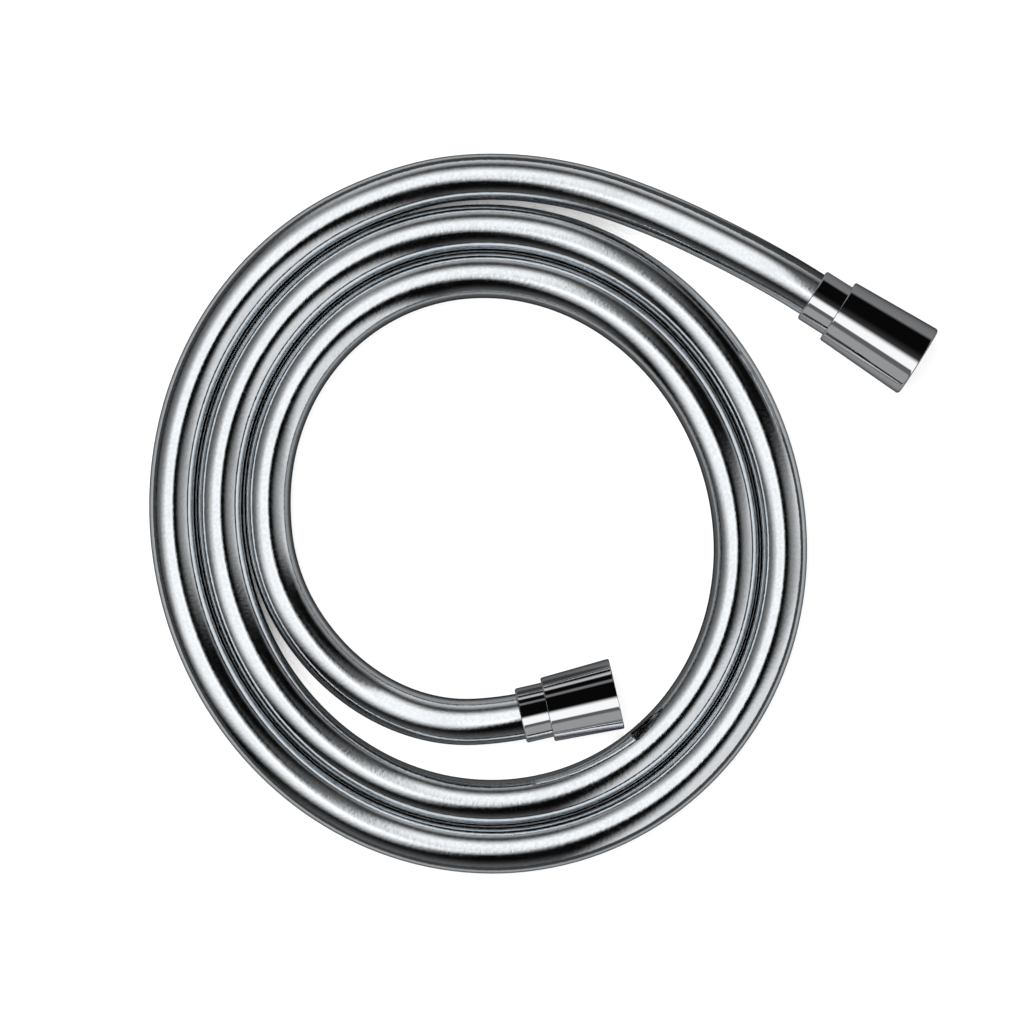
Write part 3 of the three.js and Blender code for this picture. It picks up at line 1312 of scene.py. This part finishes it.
@dataclass
class Studio:
    """The floor, the lamp, the tents and cards that shiny pieces mirror, and the camera.

    The sizes of the floor, the lamp, the tents and the cards are in metres, and the rest in millimetres.
    gap_share is the ambient occlusion range over which the painted shade of a narrow gap's floor fades out,
    from dark to fully lit.
    """

    camera_place: Pair = (-10.22, 0.45)
    frame_width: float = 331.4
    lens: float = 300.0
    sensor: float = 36.0
    far_clip: float = 100.0
    floor_radius: float = 16.0
    floor_colour: float = 0.27
    floor_glow: float = 0.75
    round_sides: int = 96
    gap_reach: float = 9.0
    gap_share: Pair = (0.1, 0.28)
    gap_samples: int = 8
    lamp_size: float = 2.6
    lamp_place: Triple = (-0.5, 0.3, 2.4)
    lamp_power: float = 160.0
    room_level: float = 0.02
    tent_segments: int = 48
    outer_tent: float = 6.2
    inner_tents: Triple = (6.0, 5.8, 5.6)
    cloth_level: float = 0.003
    cloth_height: float = 0.02
    card_radius: float = 4.0
    hose_card: Card = Card(
        "card_of_hose", 0.03, middle=0.34, rings=((42.0, 7.0, 0.12), (95.0, 25.0, 0.6), (136.0, 7.0, 0.06))
    )
    ends_card: Card = Card(
        "card_of_ends", 0.04, middle=0.05, rings=((34.0, 8.0, 0.21), (78.0, 6.0, 0.34), (150.0, 6.0, 0.22))
    )
    hose_lights: tuple[Panel | Arc, ...] = (
        Panel((-0.39, 0.14), (0.02, 0.045), bottom=(-0.25, 0.14), top=(0.355, 0.14), level=1.16, lean=0.34),
        Panel((-0.06, 0.03), (0.02, 0.025), bottom=(-0.17, 0.05), top=(-0.02, 0.05), level=0.38),
        Panel((0.0, 0.05), (0.1, 0.09), bottom=(0.13, 0.05), top=(0.4, 0.15), level=0.16, lean=0.45),
        Arc(160, 45, soft=12, inner=(0.42, 0.08), outer=(0.66, 0.05), level=0.28, outer_level=0.1),
        Arc(95, 27, soft=14, inner=(0.5, 0.1), outer=(0.72, 0.02), level=0.12, outer_level=0.7),
        Panel((0.225, 0.1), (0.8, 0.02), bottom=(-0.8, 0.02), top=(-0.14, 0.09), level=0.86),
        Arc(0, 14, soft=10, inner=(0.24, 0.1), outer=(0.72, 0.03), level=0.22, outer_level=0.7),
        Arc(40, 34, soft=10, inner=(0.57, 0.06), outer=(0.76, 0.02), level=0.16, outer_level=0.42),
        Arc(258, 26, soft=10, inner=(0.46, 0.08), outer=(0.74, 0.04), level=0.02, outer_level=0.13),
    )
    handset_lights: tuple[Strip, ...] = (
        Strip(HANDSET_HEADING, near=(-0.30, 0.02), far=(-0.03, 0.07), level=1.17),
        Strip(HANDSET_HEADING, near=(-0.06, 0.02), far=(0.13, 0.12), level=0.035),
        Strip(HANDSET_HEADING, near=(-0.44, 0.03), far=(-0.31, 0.02), level=0.13),
        Strip(HANDSET_HEADING, near=(-0.78, 0.02), far=(-0.44, 0.03), level=0.37),
        Strip(HANDSET_HEADING, near=(0.66, 0.04), far=(0.8, 0.02), level=0.2),
    )
    supply_lights: tuple[Strip, ...] = (
        Strip(SUPPLY_HEADING, near=(-0.36, 0.02), far=(-0.1, 0.06), level=1.17),
        Strip(SUPPLY_HEADING, near=(-0.46, 0.03), far=(-0.37, 0.02), level=0.12),
        Strip(SUPPLY_HEADING, near=(-0.78, 0.02), far=(-0.46, 0.03), level=0.37),
        Strip(SUPPLY_HEADING, near=(0.36, 0.02), far=(0.43, 0.02), level=0.2),
        Strip(SUPPLY_HEADING, near=(0.57, 0.02), far=(0.64, 0.03), level=0.6),
    )

    def build_camera(self) -> None:
        """Sets the camera over the hose, looking straight down."""
        data = bpy.data.cameras.new("camera")
        data.lens = self.lens
        data.sensor_width = self.sensor
        data.clip_end = self.far_clip
        camera = bpy.data.objects.new("camera", data)
        height = self.frame_width * self.lens / self.sensor + Hose.outside / 2
        camera.location = (self.camera_place[0] * MM, self.camera_place[1] * MM, height * MM)
        bpy.context.collection.objects.link(camera)
        bpy.context.scene.camera = camera
        bpy.context.scene.view_settings.view_transform = "Standard"

    def painted_gap_shade_factor(self, shader: Shader) -> Socket:
        """Gives the painted shade of the narrow gaps between turns, from ambient occlusion: 0 in the gaps,
        which darkens the floor there, and 1 outside them.

        Args:
            shader: The floor's or the card's material.

        Returns:
            The share.
        """
        reach = {"Distance": self.gap_reach * MM}
        near = shader.add("ShaderNodeAmbientOcclusion", reach, samples=self.gap_samples).outputs["AO"]
        # Painted shade: where ambient occlusion finds a narrow gap, this factor goes to 0 and darkens what it
        # multiplies.
        return shader.ramp(near, *self.gap_share)

    def disc(self, name: str, radius: float, place: Triple, made: bpy.types.Material) -> bpy.types.Object:
        """Lays a round sheet.

        Args:
            name: Its name.
            radius: Its radius.
            place: Its middle.
            made: Its material.

        Returns:
            The sheet.
        """
        bpy.ops.object.select_all(action="DESELECT")
        bpy.ops.mesh.primitive_circle_add(
            vertices=self.round_sides, radius=radius, fill_type="NGON", location=place
        )
        disc = bpy.context.active_object
        disc.name = disc.data.name = name
        disc.data.materials.append(made)
        return disc

    def build_floor(self) -> None:
        """Lays the white floor, which keeps the shadow, with painted shade in the narrow gaps between turns.
        """
        shader = Shader("floor_paper")
        path = shader.add("ShaderNodeLightPath").outputs
        rays = [path["Is Camera Ray"], path["Is Glossy Ray"], path["Is Transmission Ray"]]
        # Painted shade: the floor's glow and its paper colour are both multiplied by the gap factor, so the
        # gaps between turns go dark.
        share = self.painted_gap_shade_factor(shader)
        glow = shader.chain("MULTIPLY", [shader.chain("MAXIMUM", rays), self.floor_glow, share])
        paper_with_painted_gap_shade = shader.math("MULTIPLY", share, self.floor_colour)
        matt = shader.add("ShaderNodeBsdfDiffuse", {"Color": paper_with_painted_gap_shade}).outputs[0]
        made = shader.finish(shader.both(matt, shader.glow(glow)))
        self.disc("floor", self.floor_radius, (0.0, 0.0, 0.0), made)

    def build_lamps(self) -> None:
        """Hangs the soft lamp over the hose, and leaves the room dim."""
        data = bpy.data.lights.new("softbox", "AREA")
        data.shape = "SQUARE"
        data.size = self.lamp_size
        data.energy = self.lamp_power
        lamp = bpy.data.objects.new("softbox", data)
        lamp.location = self.lamp_place
        lamp.rotation_euler = (-lamp.location).to_track_quat("-Z", "Y").to_euler()
        lamp.visible_glossy = False
        lamp.visible_camera = False
        bpy.context.collection.objects.link(lamp)
        world = bpy.data.worlds.new("room")
        world.use_nodes = True
        colour, strength, *_ = world.node_tree.nodes["Background"].inputs
        colour.default_value = WHITE
        strength.default_value = self.room_level
        bpy.context.scene.world = world

    def only_mirrored(self, thing: bpy.types.Object) -> None:
        """Lets only shiny pieces see a thing of the studio.

        Args:
            thing: A tent or a card.
        """
        for ray in ("camera", "diffuse", "transmission", "volume_scatter", "shadow"):
            setattr(thing, f"visible_{ray}", False)

    def show_only_to(self, pieces: Sequence[bpy.types.Object], thing: bpy.types.Object, name: str) -> None:
        """Keeps a thing of the studio to the pieces that are to mirror it.

        Args:
            pieces: The pieces.
            thing: A tent or a card.
            name: The name of the pieces' collection.
        """
        shown_to = bpy.data.collections.new(name)
        for piece in pieces:
            shown_to.objects.link(piece)
        thing.light_linking.receiver_collection = shown_to

    def unlit(self, shader: Shader, surface: Socket) -> bpy.types.Material:
        """Finishes a material that glows but isn't used as a lamp.

        Args:
            shader: The material so far.
            surface: Its last shader.

        Returns:
            The material.
        """
        material = shader.finish(surface)
        material.cycles.emission_sampling = "NONE"
        return material

    def cloth(self, name: str) -> bpy.types.Material:
        """Makes a nearly black cloth.

        Args:
            name: The material's name.

        Returns:
            The material.
        """
        shader = Shader(name)
        return self.unlit(shader, shader.glow(self.cloth_level))

    def see_through(self, shader: Shader, glow: Socket) -> bpy.types.Material:
        """Finishes a material that glows and can be seen through.

        Args:
            shader: The material so far.
            glow: How bright it is.

        Returns:
            The material.
        """
        clear = shader.add("ShaderNodeBsdfTransparent", {"Color": WHITE}).outputs[0]
        return self.unlit(shader, shader.both(clear, shader.glow(glow)))

    def glowing(self, name: str, glows: Sequence[Panel | Arc | Strip]) -> bpy.types.Material:
        """Makes the material of a tent that glows in places and can be seen through.

        Args:
            name: The material's name.
            glows: Its bright patches.

        Returns:
            The material.
        """
        shader = Shader(name)
        way = shader.vector("NORMALIZE", shader.coordinates("Object")).outputs[0]
        slope = shader.vector("NORMALIZE", shader.vector("ADD", way, UP).outputs[0]).outputs[0]
        across, up, _ = shader.add("ShaderNodeSeparateXYZ", {0: slope}).outputs
        squares = [shader.math("MULTIPLY", side, side) for side in (across, up)]
        reach = shader.math("SQRT", shader.math("ADD", *squares))
        azimuth = shader.math("DEGREES", shader.math("ARCTAN2", up, across))
        at = Mirrored(across, up, reach, azimuth)
        return self.see_through(shader, shader.chain("ADD", [glow.lay(shader, at) for glow in glows]))

    def tent(self, name: str, radius: float, made: bpy.types.Material) -> bpy.types.Object:
        """Sets a dome over the hose.

        Args:
            name: Its name.
            radius: Its radius.
            made: Its material.

        Returns:
            The dome.
        """
        bpy.ops.object.select_all(action="DESELECT")
        bpy.ops.mesh.primitive_uv_sphere_add(
            segments=self.tent_segments, ring_count=self.tent_segments // 2, radius=radius
        )
        dome = bpy.context.active_object
        dome.name = dome.data.name = name
        bpy.ops.object.mode_set(mode="EDIT")
        bpy.ops.mesh.select_all(action="SELECT")
        bpy.ops.mesh.bisect(plane_co=(0, 0, 0), plane_no=UP, clear_inner=True)
        bpy.ops.object.mode_set(mode="OBJECT")
        bpy.ops.object.shade_smooth()
        dome.data.materials.append(made)
        self.only_mirrored(dome)
        return dome

    def build_tents(self, hose: bpy.types.Object, handset: Fitting, supply: Fitting) -> None:
        """Sets up what the hose and the fittings mirror above them.

        Args:
            hose: The hose.
            handset: The fitting at the outer end.
            supply: The fitting at the inner end.
        """
        self.tent("tent_outer", self.outer_tent, self.cloth("tent_cloth"))
        groups = (
            (Receiver.HOSE, [hose], self.hose_lights),
            (Receiver.HANDSET, handset.pieces, self.handset_lights),
            (Receiver.SUPPLY, supply.pieces, self.supply_lights),
        )
        for (receiver, pieces, lights), radius in zip(groups, self.inner_tents):
            dome = self.tent(f"tent_{receiver.name.lower()}", radius, self.glowing(receiver.value, lights))
            self.show_only_to(pieces, dome, receiver.value)

    def lay_card(self, name: str, height: float, made: bpy.types.Material) -> bpy.types.Object:
        """Lays a card on the floor under the hose.

        Args:
            name: Its name.
            height: How high it lies, in millimetres.
            made: Its material.

        Returns:
            The card.
        """
        across, up = Spiral.centre
        card = self.disc(name, self.card_radius, (across * MM, up * MM, height * MM), made)
        self.only_mirrored(card)
        return card

    def build_cards(self, hose: bpy.types.Object, fittings: Sequence[bpy.types.Object]) -> None:
        """Lays the dark card that hides the white floor from shiny pieces, and what they see on it instead.

        Args:
            hose: The hose.
            fittings: Every piece of the two fittings.
        """
        self.lay_card("card_dark", self.cloth_height, self.cloth("card_cloth"))
        for card, pieces in ((self.hose_card, [hose]), (self.ends_card, fittings)):
            shader = Shader(f"{card.name}_paper")
            # Painted shade: the card's glow is darkened in the narrow gaps between turns as well, so the
            # shiny pieces mirror dark gaps.
            glow = shader.math("MULTIPLY", self.painted_gap_shade_factor(shader), card.level(shader))
            sheet = self.lay_card(card.name, card.height, self.see_through(shader, glow))
            self.show_only_to(pieces, sheet, f"{card.name}_shown_to")


def main() -> None:
    """Builds the fittings, the hose and the studio in order."""
    logging.basicConfig(level=logging.INFO, format="%(name)s: %(message)s")
    finishes = Finishes()
    studio = Studio()
    studio.build_camera()
    handset = Fitting(
        name="handset",
        finishes=finishes,
        turn=19.07,
        outside=39.74,
        heading=HANDSET_HEADING,
        nut_length=30.9,
        mouth_wall=1.72,
        rear_wall=1.6,
        rim=1.0,
        ferrule_shown=9.8,
        straight_lead=10.0,
        swivel=True,
        nut_body=Body.HANDSET,
    )
    supply = Fitting(
        name="supply",
        finishes=finishes,
        turn=1027.5,
        outside=-4.16,
        heading=SUPPLY_HEADING,
        nut_length=23.0,
        mouth_wall=1.12,
        rear_wall=1.25,
        rim=0.5,
        ferrule_shown=8.9,
        straight_lead=3.0,
        swivel=False,
        nut_body=Body.SUPPLY,
    )
    handset.build()
    supply.build()
    hose = Hose().build(handset, supply, finishes)
    studio.build_floor()
    studio.build_lamps()
    studio.build_tents(hose, handset, supply)
    studio.build_cards(hose, [*handset.pieces, *supply.pieces])


if __name__ == "__main__":
    main()
